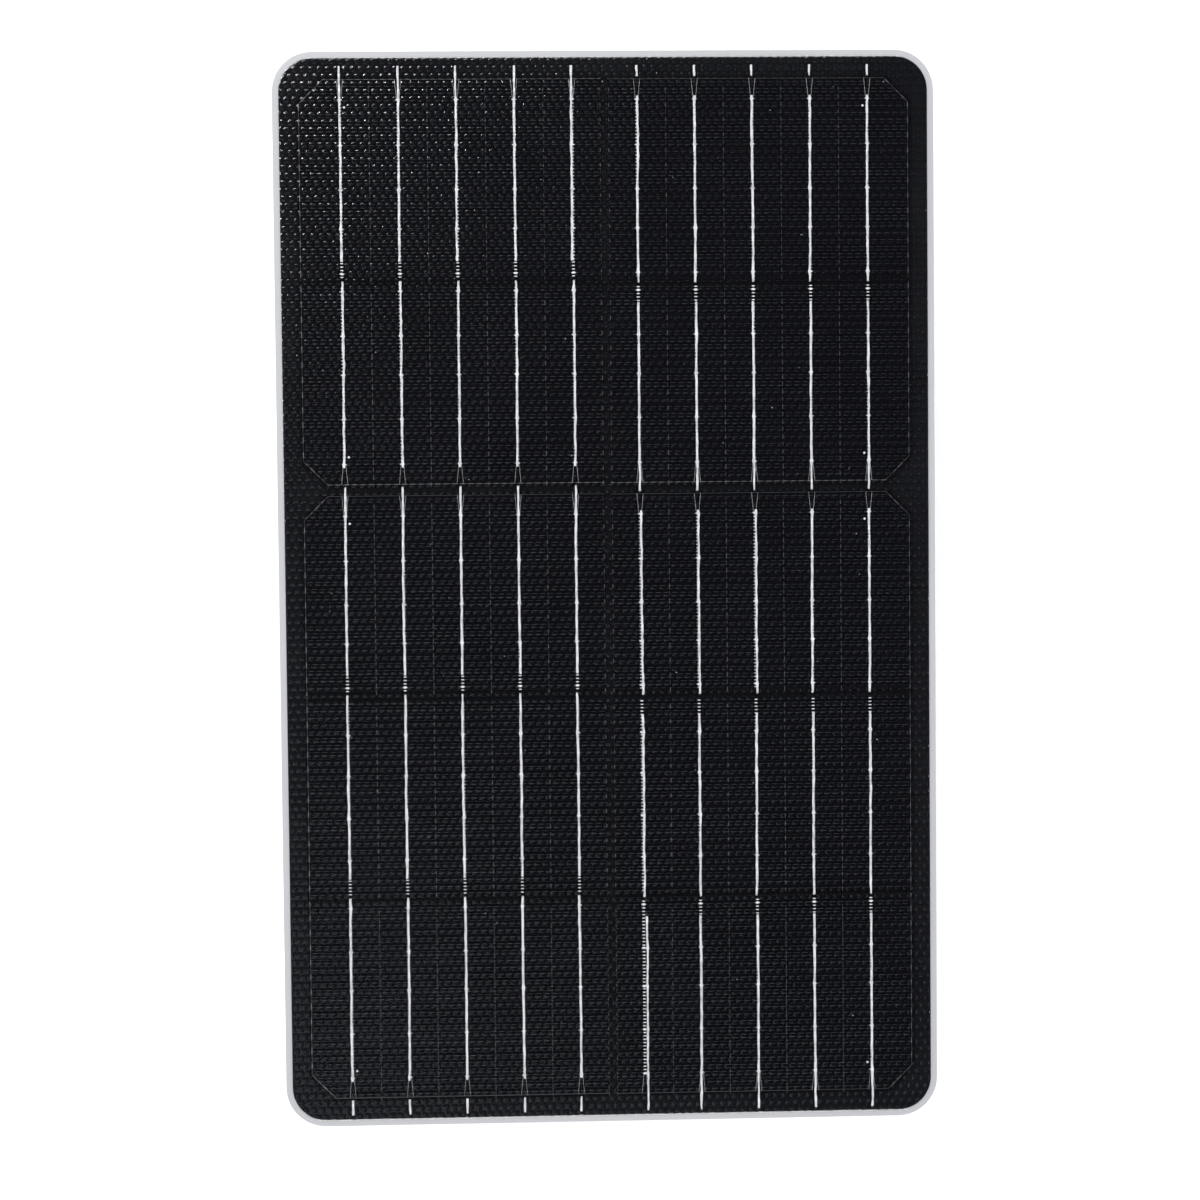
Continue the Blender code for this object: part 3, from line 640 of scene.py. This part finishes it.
def make_cover_piece(name, bottom, top):
    """A closed slab: the embossed grid on top, a flat underside, and walls all round."""
    rows = cover_rows(bottom, top)
    columns = PILLOWS_ACROSS * STEPS_ACROSS
    share = np.linspace(-1, 1, columns + 1)
    x = share[None, :] * half_width(rows)[:, None]
    y = np.repeat(rows[:, None], columns + 1, axis=1)
    under_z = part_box("front_encapsulant")[0].z
    grid = np.stack([x, y, cover_height(x, y)], axis=-1).reshape(-1, 3)
    left = np.stack([x[:, 0], rows, np.full(len(rows), under_z)], axis=-1)
    right = np.stack([x[:, -1], rows, np.full(len(rows), under_z)], axis=-1)
    verts = np.concatenate([grid, left, right])
    top, sides = slab_faces(len(rows), columns)

    mesh = bpy.data.meshes.new(name)
    mesh.from_pydata(verts.tolist(), [], top + sides)
    mesh.polygons.foreach_set("use_smooth", [True] * len(top) + [False] * len(sides))
    corners = np.zeros(len(mesh.loops), np.int32)
    mesh.loops.foreach_get("vertex_index", corners)
    loop_normals = np.zeros((len(corners), 3))
    top_corners = 4 * len(top)
    loop_normals[:top_corners] = cover_normals(x, y)[corners[:top_corners]]
    mesh.normals_split_custom_set(loop_normals.tolist())
    obj = bpy.data.objects.new(name, mesh)
    bpy.context.scene.collection.objects.link(obj)
    dress(obj, "cover")
    return obj


def make_cover():
    """The embossed film and the clear layer under it, in four stretches like the flat layers."""
    for name, bottom, top, (parent, child, hinge_y) in STRETCHES:
        piece = make_cover_piece(f"embossed_cover_{name}", bottom, top)
        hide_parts("front_cover_film", "front_encapsulant")
        bend_with(piece, parent, child, hinge_y)


# ---- prints on the cells --------------------------------------------------------------------


def prism(shape, outline, z_range):
    """An upright prism on an outline that runs anticlockwise."""
    z_low, z_high = z_range
    lower = [shape.verts.new((x, y, z_low)) for x, y in outline]
    upper = [shape.verts.new((x, y, z_high)) for x, y in outline]
    shape.faces.new(upper)
    shape.faces.new(lower[::-1])
    for n in range(len(outline)):
        m = (n + 1) % len(outline)
        shape.faces.new((lower[n], lower[m], upper[m], upper[n]))


def bar(shape, x0, x1, y0, y1, z_range):
    """A flat box between two x and two y, given in either order."""
    (x0, x1), (y0, y1) = sorted((x0, x1)), sorted((y0, y1))
    prism(shape, [(x0, y0), (x1, y0), (x1, y1), (x0, y1)], z_range)


def line(shape, start, end, width, z_range):
    """A printed line of one width from start to end."""
    along = Vector(end) - Vector(start)
    side = Vector((-along.y, along.x)).normalized() * width / 2
    a, b = Vector(start), Vector(end)
    prism(shape, [a - side, b - side, b + side, a + side], z_range)


def disc(shape, centre, radius, z_range):
    """A flat round spot."""
    ring = []
    for step in range(DISC_SIDES):
        turn = 2 * math.pi * step / DISC_SIDES
        ring.append((centre[0] + radius * math.cos(turn), centre[1] + radius * math.sin(turn)))
    prism(shape, ring, z_range)


def inner_outer(column, row):
    """The x of a cell's edge by the sheet's middle, and of its outer edge."""
    low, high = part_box(f"cell_{column}{row}")
    return (low.x, high.x) if COLUMNS[column] > 0 else (high.x, low.x)


def factory_end(row, low, high):
    """Which way is inwards from a row's uncut edge, 1 or -1 along Y, and the y of that edge.

    A row without an uncut edge is counted from its top.
    """
    return (1, low.y) if FACTORY_EDGE.get(row) == "bottom" else (-1, high.y)


def busbar_xs(column):
    """The printed busbars of a column, from the sheet's middle outwards."""
    side = COLUMNS[column]
    inner = inner_outer(column, 1)[0]
    return [inner + side * (BUSBAR_PITCH / 2 + n * BUSBAR_PITCH) for n in range(BUSBARS)]


def pad_ys(row, low, high):
    """The y of the solder pads of a row between low and high."""
    edge = FACTORY_EDGE.get(row)
    if edge == "top":
        return [high - d for d in PADS_FROM_FACTORY_EDGE]
    if edge == "bottom":
        return [low + d for d in PADS_FROM_FACTORY_EDGE]
    return [high - d for d in PADS_OF_MIDDLE_PIECE]


def print_outline(shape, column, row):
    """The line inside a cell's uncut edges, and the dashes by its cut and between its busbars."""
    low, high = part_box(f"cell_{column}{row}")
    z_range = (high.z, high.z + PRINT_T)
    side = COLUMNS[column]
    inner, outer = inner_outer(column, row)
    outer_line = outer - side * FRAME_INSET
    bottom, top = low.y, high.y
    if row in FACTORY_EDGE:
        inwards, edge_y = factory_end(row, low, high)
        end_y = edge_y + inwards * FRAME_INSET
        corner_x = outer_line - side * OUTLINE_TURN
        corner_y = end_y + inwards * OUTLINE_TURN
        line(shape, (inner, end_y), (corner_x, end_y), FRAME_W, z_range)
        line(shape, (corner_x, end_y), (outer_line, corner_y), FRAME_W, z_range)
        bottom, top = (corner_y, top) if inwards > 0 else (bottom, corner_y)
    bar(shape, outer_line, outer_line - side * FRAME_W, bottom, top, z_range)
    dash_ys = [low.y + n * DASH_PITCH for n in range(int((high.y - low.y) / DASH_PITCH))]
    for y in dash_ys:
        x = inner + side * CUT_INSET
        bar(shape, x, x + side * DASH_W, y, y + CUT_DASH, z_range)
    for busbar_x in busbar_xs(column)[1:]:
        x = busbar_x - side * BUSBAR_PITCH / 2
        for y in dash_ys:
            bar(shape, x - DASH_W / 2, x + DASH_W / 2, y, y + MIDDLE_DASH, z_range)


def finger_ys(column, row):
    """The y of each finger, from the uncut end, and how much a chamfer shortens it."""
    low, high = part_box(f"cell_{column}{row}")
    inwards, edge_y = factory_end(row, low, high)
    start = edge_y + inwards * FRAME_INSET
    for n in range(1, int((high.y - low.y) / FINGER_PITCH)):
        short = max(OUTLINE_TURN - n * FINGER_PITCH, 0) if row in FACTORY_EDGE else 0
        yield start + inwards * n * FINGER_PITCH, short


def print_fingers(shape, column, row):
    """Fingers across the cell, from its cut side to its outline."""
    top_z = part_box(f"cell_{column}{row}")[1].z
    z_range = (top_z, top_z + PRINT_T)
    side = COLUMNS[column]
    inner, outer = inner_outer(column, row)
    start = inner + side * CUT_INSET
    for y, short in finger_ys(column, row):
        end = outer - side * (FRAME_INSET + short)
        bar(shape, start, end, y - FINGER_W / 2, y + FINGER_W / 2, z_range)


def print_pads(shape, column, row):
    """Solder pads, the teeth between them, forks at the uncut end and the locating mark."""
    low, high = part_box(f"cell_{column}{row}")
    forked = row in FACTORY_EDGE
    inwards, edge_y = factory_end(row, low, high)
    tooth_z = (high.z, high.z + TOOTH_T)
    pad_z = (high.z, high.z + PAD_T)
    half_w, half_l = PAD
    for x in busbar_xs(column):
        for y, _ in finger_ys(column, row):
            if not forked or abs(y - edge_y) > FORK_L:
                bar(shape, x - TOOTH[0], x + TOOTH[0], y - TOOTH[1], y + TOOTH[1], tooth_z)
        for y in pad_ys(row, low.y, high.y):
            diamond = [(x - half_w, y), (x, y - half_l), (x + half_w, y), (x, y + half_l)]
            prism(shape, diamond, pad_z)
        if forked:
            for prong in (-1, 1):
                root = (x + prong * FORK_HALF[0], edge_y + inwards * FORK_L)
                tip = (x + prong * FORK_HALF[1], edge_y + inwards * FRAME_INSET)
                line(shape, root, tip, FORK_W, tooth_z)
    if forked:
        outer = inner_outer(column, row)[1]
        mark = (outer - COLUMNS[column] * MARK_PLACE[0], edge_y + inwards * MARK_PLACE[1])
        disc(shape, mark, MARK_R, pad_z)
    random = np.random.default_rng(11 * row + ord(column))
    aside, along = SPECK_MARGIN
    for _ in range(SPECKS):
        spot = random.uniform((low.x + aside, low.y + along), (high.x - aside, high.y - along))
        disc(shape, spot, random.uniform(*SPECK_R), tooth_z)


# Name, look and drawing function of each print on a cell.
PRINTS = (
    ("outline", "outline", print_outline),
    ("fingers", "fingers", print_fingers),
    ("pads", "silver", print_pads),
)


def print_cell(column, row):
    """All that is printed on one cell, as a piece for each kind of print."""
    for name, look, draw in PRINTS:
        shape = bmesh.new()
        draw(shape, column, row)
        piece = piece_from(shape, f"print_{name}_{column}{row}", look)
        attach(piece, f"row_{row}")


# ---- ribbons --------------------------------------------------------------------------------


def wander(seed, y, waves, times=1):
    """A smooth random sidestep along a ribbon, the sum of its waves."""
    total = 0.0
    for shift, size, length in waves:
        total += size * noise.noise(Vector(((seed + times * shift) * 7.31, y / length, 0.5)))
    return total


def points_along(path):
    """Points at even steps from each (y, z) point of a path to the next."""
    points = [Vector(path[0])]
    for end in path[1:]:
        start = points[-1]
        span = Vector(end) - start
        count = max(1, round(span.length / RIBBON_STEP))
        points += [start + span * n / count for n in range(1, count + 1)]
    return points


def ribbon(shape, x, path, seed, aside, bulges):
    """A flat wire of solder-coated copper along a path, with edges that swell and wander."""
    points = points_along(path)
    crown = RIBBON_T / 2
    rings = []
    towards = 1 if points[-1].x > points[0].x else -1
    for n, point in enumerate(points):
        before = points[max(n - 1, 0)]
        after = points[min(n + 1, len(points) - 1)]
        along = (after - before).normalized()
        up = Vector((0, -along.y, along.x)) * towards
        y, z = point
        centre = Vector((x + aside + wander(seed, y, COURSE_WAVES), y, z))
        bulge_reach, bulge_size = BULGE
        swell = sum(math.exp(-(((y - bulge_y) / bulge_reach) ** 2)) for bulge_y in bulges)
        left, right = (
            RIBBON_W / 2 + wander(seed, y, EDGE_WAVES, edge) + bulge_size * swell for edge in (1, 2)
        )
        section = (
            (-left, -0.6),
            (-left, 0.3),
            (-left + SHOULDER, 1.0),
            (right - SHOULDER, 1.0),
            (right, 0.3),
            (right, -0.6),
            (right - FOOT, -1.0),
            (-left + FOOT, -1.0),
        )
        ring = []
        for dx, height in section:
            ring.append(shape.verts.new(centre + Vector((dx, 0, 0)) + up * (height * crown)))
        rings.append(ring)
    for first, second in zip(rings, rings[1:]):
        for n in range(len(first)):
            m = (n + 1) % len(first)
            shape.faces.new((first[n], first[m], second[m], second[n]))
    shape.faces.new(rings[0][::-1])
    shape.faces.new(rings[-1])


def finish_ribbons(shape, node):
    """The piece that stands for a CAD node of ribbons."""
    bmesh.ops.recalc_face_normals(shape, faces=shape.faces)
    piece = piece_from(shape, f"{node}_soldered", "ribbon")
    piece.data.shade_smooth()
    piece.data.set_sharp_from_angle(angle=math.radians(50))
    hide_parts(node)
    return piece


def levels(node):
    """Centre heights of the lowest and the highest ribbon of a node."""
    low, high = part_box(node)
    return low.z + RIBBON_T / 2, high.z - RIBBON_T / 2


def cell_ys(column, row, direction):
    """The y of a cell's two edges, in the order they are met when moving along Y."""
    low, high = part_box(f"cell_{column}{row}")
    return (low.y, high.y) if direction > 0 else (high.y, low.y)


def five_ribbons(shape, column, row, path, face):
    """A cell's five ribbons. On its front they swell at the pads, and a few lie to one side."""
    bulges = pad_ys(row, *cell_ys(column, row, 1)) if face == "front" else ()
    for n, x in enumerate(busbar_xs(column)):
        aside = LAID_ASIDE.get((column, row, n), 0.0) if face == "front" else 0.0
        ribbon(shape, x, path, 31 * row + 7 * n + ord(column), aside, bulges)


def make_interconnect(column, upper, parent, child, hinge_y):
    """Ribbons from the back of one cell to the front of the next, joined by a tie at the back."""
    node = f"ribbons_{column}{upper}_{column}{upper + 1}"
    direction = -1 if column == "a" else 1
    rear_row, front_row = (upper, upper + 1) if column == "a" else (upper + 1, upper)
    rear_first, rear_last = cell_ys(column, rear_row, direction)
    front_first, front_last = cell_ys(column, front_row, direction)
    rear_z, front_z = levels(node)
    start = rear_first + direction * REAR_RIBBON_END
    path = [
        (start, rear_z),
        (rear_last + direction * JOGGLE, rear_z),
        (front_first - direction * JOGGLE, front_z),
        (front_last - direction * RIBBON_END, front_z),
    ]
    shape = bmesh.new()
    five_ribbons(shape, column, front_row, path, "front")
    xs = busbar_xs(column)
    tie_z = (rear_z - RIBBON_T / 2, rear_z + RIBBON_T / 2)
    bar(shape, min(xs) - RIBBON_W, max(xs) + RIBBON_W, start, start + direction * TIE_W, tie_z)
    piece = finish_ribbons(shape, node)
    bend_with(piece, parent, child, hinge_y)


def end_row(end):
    """The row at an end of the sheet, and which way is inwards from there."""
    return (1, -1) if end == "top" else (5, 1)


def end_path(column, node, end, face):
    """The path of the ribbons that rise from a bus and run along a face of the end cell."""
    row, inwards = end_row(end)
    bus_low, bus_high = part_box(node)
    rise_y = (bus_high.y if end == "top" else bus_low.y) + inwards * RIBBON_T / 2
    rear_z, front_z = levels("ribbons_a1_a2")
    z, stop = (front_z, RIBBON_END) if face == "front" else (rear_z, REAR_RIBBON_END)
    last = cell_ys(column, row, inwards)[1]
    return [(rise_y, bus_low.z + BUS_T / 2), (rise_y, z), (last - inwards * stop, z)]


def make_bus(node, end, runs):
    """A wide bus behind the black sheet, with the ribbons that come up through it from the bus."""
    low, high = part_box(node)
    row, inwards = end_row(end)
    edge_y = high.y if end == "top" else low.y
    y_range = (edge_y + inwards * side for side in BUS_SIDES)
    shape = bmesh.new()
    bar(shape, low.x, high.x, *y_range, (low.z, low.z + BUS_T))
    for column, face in runs:
        five_ribbons(shape, column, row, end_path(column, node, end, face), face)
    piece = finish_ribbons(shape, node)
    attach(piece, f"row_{row}")


# ---- carried-over CAD nodes -----------------------------------------------------------------

CAD_LOOKS = {
    "jbox_base": "box",
    "jbox_lid": "box",
    "jbox_lid_seal": "rubber",
    "jbox_adhesive_pad": "foam",
    "gland_body": "gland",
    "gland_nut": "gland",
    "gland_locknut": "gland",
    "gland_washer": "rubber",
    "gland_seal": "rubber",
    "lead_negative": "copper",
    "lead_positive": "copper",
    "terminal_negative": "brass",
    "terminal_positive": "brass",
    "terminal_screw_negative": "steel",
    "terminal_screw_positive": "steel",
    "bypass_diode": "epoxy",
}
CAD_LOOKS.update({f"lid_screw_{n}": "steel" for n in range(1, 5)})
CAD_LOOKS.update({f"cell_{column}{row}": "silicon" for column in COLUMNS for row in ROWS})
SOFT_EDGES = {"jbox_base": 0.35 * MM, "gland_nut": 0.25 * MM, "gland_body": 0.15 * MM}


def soften_edges(obj, width):
    """Rounds a moulded piece's edges, on top of the CAD mesh."""
    weld = obj.modifiers.new("weld", "WELD")
    weld.merge_threshold = 0.001 * MM
    bevel = obj.modifiers.new("moulded_edges", "BEVEL")
    bevel.width = width
    bevel.segments = 3
    bevel.limit_method = "ANGLE"
    bevel.angle_limit = math.radians(40)
    bevel.harden_normals = True


def dress_cad_nodes():
    """Better materials for the CAD nodes that stay, and rounded edges for the moulded ones."""
    for node, look in CAD_LOOKS.items():
        dress(frame["nodes"][node], look)
    for node, width in SOFT_EDGES.items():
        soften_edges(frame["nodes"][node], width)


# ---- camera, floor and light ----------------------------------------------------------------

# The camera looks down its own -Z: turns about X, Y and Z, then its place in those axes.
CAMERA_TURNS = (("X", -2.799), ("Y", -2.446), ("Z", -0.668))
CAMERA_PLACE = (-0.002676, -0.002807, 0.894329)
CAMERA_LENS = 89.0

# The floor is solid out to one distance from the middle, and has faded away at another.
FLOOR_Z = -30.0 * MM
FLOOR_FULL = 0.45
FLOOR_GONE = 0.95

# Soft boxes, name: azimuth, degrees from straight up, distance, size, power.
WALL = (62, 1.5, (1.2, 0.5), 17.0)
LIGHTS = {
    "wall_left": (180, *WALL),
    "wall_right": (0, *WALL),
    "wall_top": (90, *WALL),
    "wall_bottom": (270, *WALL),
    "glint_corner": (126, 35, 1.4, (0.60, 0.16), 9.0),
}

# Sky brightness: at this height and below, at this height and above, and the two levels.
HORIZON = (0.22, 0.58, 1.1, 0.02)

# Soft patches of sky: (azimuth, degrees from straight up), full within, gone at, radiance.
SKY_GLOWS = (
    ((240, 24), 3, 20, 0.95),
    ((0, 30), 4, 16, 0.28),
    ((180, 32), 4, 14, 0.20),
    ((90, 33), 4, 14, 0.24),
)


def make_camera():
    """A long lens above the sheet, tilted a few degrees off its normal."""
    data = bpy.data.cameras.new("camera")
    data.lens = CAMERA_LENS
    data.sensor_width = 36.0
    data.clip_start = 0.05
    data.clip_end = 20.0
    camera = bpy.data.objects.new("camera", data)
    bpy.context.scene.collection.objects.link(camera)
    place = Matrix.Translation((0, 0, FACE_HIGH.z))
    for axis, degrees in CAMERA_TURNS:
        place = place @ Matrix.Rotation(math.radians(degrees), 4, axis)
    camera.matrix_world = place @ Matrix.Translation(CAMERA_PLACE)
    bpy.context.scene.camera = camera


def make_floor():
    """Pale floor that ends softly in the pale surroundings, and is seen from above only."""
    shape = bmesh.new()
    bmesh.ops.create_grid(shape, x_segments=2, y_segments=2, size=1.0)
    mesh = bpy.data.meshes.new("floor")
    shape.to_mesh(mesh)
    shape.free()
    floor = bpy.data.objects.new("floor", mesh)
    floor.location.z = FLOOR_Z
    bpy.context.scene.collection.objects.link(floor)
    n = Nodes("pale_floor")
    colour = n.tint(n.noise(3.0, 2.0), (0.90, 0.90, 0.905), (0.93, 0.93, 0.935))
    reach = n.add("VectorMath", {0: n.place}, operation="LENGTH").outputs["Value"]
    covered = n.ramp(reach, FLOOR_FULL, FLOOR_GONE, 1.0, 0.0)
    from_above = n.math("SUBTRACT", 1.0, n.add("NewGeometry").outputs["Backfacing"])
    factor = n.math("MULTIPLY", covered, from_above)
    pale = n.add("BsdfDiffuse", {"Color": colour})
    mesh.materials.append(n.mixed(factor, n.add("BsdfTransparent"), pale))


def direction_at(azimuth, angle):
    """A direction: azimuth from +X anticlockwise and angle from straight up, both in degrees."""
    around, down = math.radians(azimuth), math.radians(angle)
    level = math.sin(down)
    return Vector((level * math.cos(around), level * math.sin(around), math.cos(down)))


def area_light(name, azimuth, angle, distance, size, power):
    """A soft box aimed at the sheet."""
    data = bpy.data.lights.new(name, "AREA")
    data.shape = "RECTANGLE"
    data.size, data.size_y = size
    data.energy = power
    light = bpy.data.objects.new(name, data)
    bpy.context.scene.collection.objects.link(light)
    direction = direction_at(azimuth, angle)
    aim = direction.to_track_quat("Z", "Y").to_matrix().to_4x4()
    light.matrix_world = Matrix.Translation(direction * distance) @ aim


def glow(tree, view, direction, inner, outer, radiance):
    """A soft round patch of sky: full within inner degrees of the direction, gone at outer."""
    dot = tree.nodes.new("ShaderNodeVectorMath")
    dot.operation = "DOT_PRODUCT"
    dot.inputs[1].default_value = direction_at(*direction)
    tree.links.new(view, dot.inputs[0])
    fade = tree.nodes.new("ShaderNodeMapRange")
    fade.interpolation_type = "SMOOTHSTEP"
    ends = (math.cos(math.radians(outer)), math.cos(math.radians(inner)), 0.0, radiance)
    for socket, value in zip(fade.inputs[1:5], ends):
        socket.default_value = value
    tree.links.new(dot.outputs["Value"], fade.inputs[0])
    return fade.outputs[0]


def make_lights():
    for name, setting in LIGHTS.items():
        area_light(name, *setting)


def make_sky():
    """Bright low down and dark overhead, so that the film mirrors little but its soft patches."""
    world = bpy.data.worlds.new("studio")
    bpy.context.scene.world = world
    world.use_nodes = True
    tree = world.node_tree
    view = tree.nodes.new("ShaderNodeTexCoord").outputs["Generated"]
    split = tree.nodes.new("ShaderNodeSeparateXYZ")
    tree.links.new(view, split.inputs[0])
    horizon = tree.nodes.new("ShaderNodeMapRange")
    horizon.interpolation_type = "SMOOTHSTEP"
    for socket, value in zip(horizon.inputs[1:5], HORIZON):
        socket.default_value = value
    tree.links.new(split.outputs["Z"], horizon.inputs[0])
    total = horizon.outputs[0]
    for direction, inner, outer, radiance in SKY_GLOWS:
        add = tree.nodes.new("ShaderNodeMath")
        add.operation = "ADD"
        tree.links.new(total, add.inputs[0])
        tree.links.new(glow(tree, view, direction, inner, outer, radiance), add.inputs[1])
        total = add.outputs[0]
    tree.links.new(total, tree.nodes["Background"].inputs["Strength"])
    tree.nodes["Background"].inputs["Color"].default_value = (0.92, 0.95, 1.0, 1)
    bpy.context.scene.view_settings.view_transform = "Standard"


make_camera()
make_floor()
make_lights()
make_sky()
dress_cad_nodes()
make_layer("backing_board", "board", rounding=0.35 * MM)
make_layer("bonding_layer", "bond", rounding=0.2 * MM)
make_layer("black_backsheet", "black_sheet", sealed=True)
make_layer("rear_encapsulant", "resin")
make_cover()
for column in COLUMNS:
    for row in ROWS:
        print_cell(column, row)
for parent, child, hinge_y in HINGES:
    for column in COLUMNS:
        make_interconnect(column, min(int(parent[-1]), int(child[-1])), parent, child, hinge_y)
make_bus("bus_negative", "top", [("a", "front")])
make_bus("bus_positive", "top", [("b", "rear")])
make_bus("bus_bottom", "bottom", [("a", "rear"), ("b", "front")])
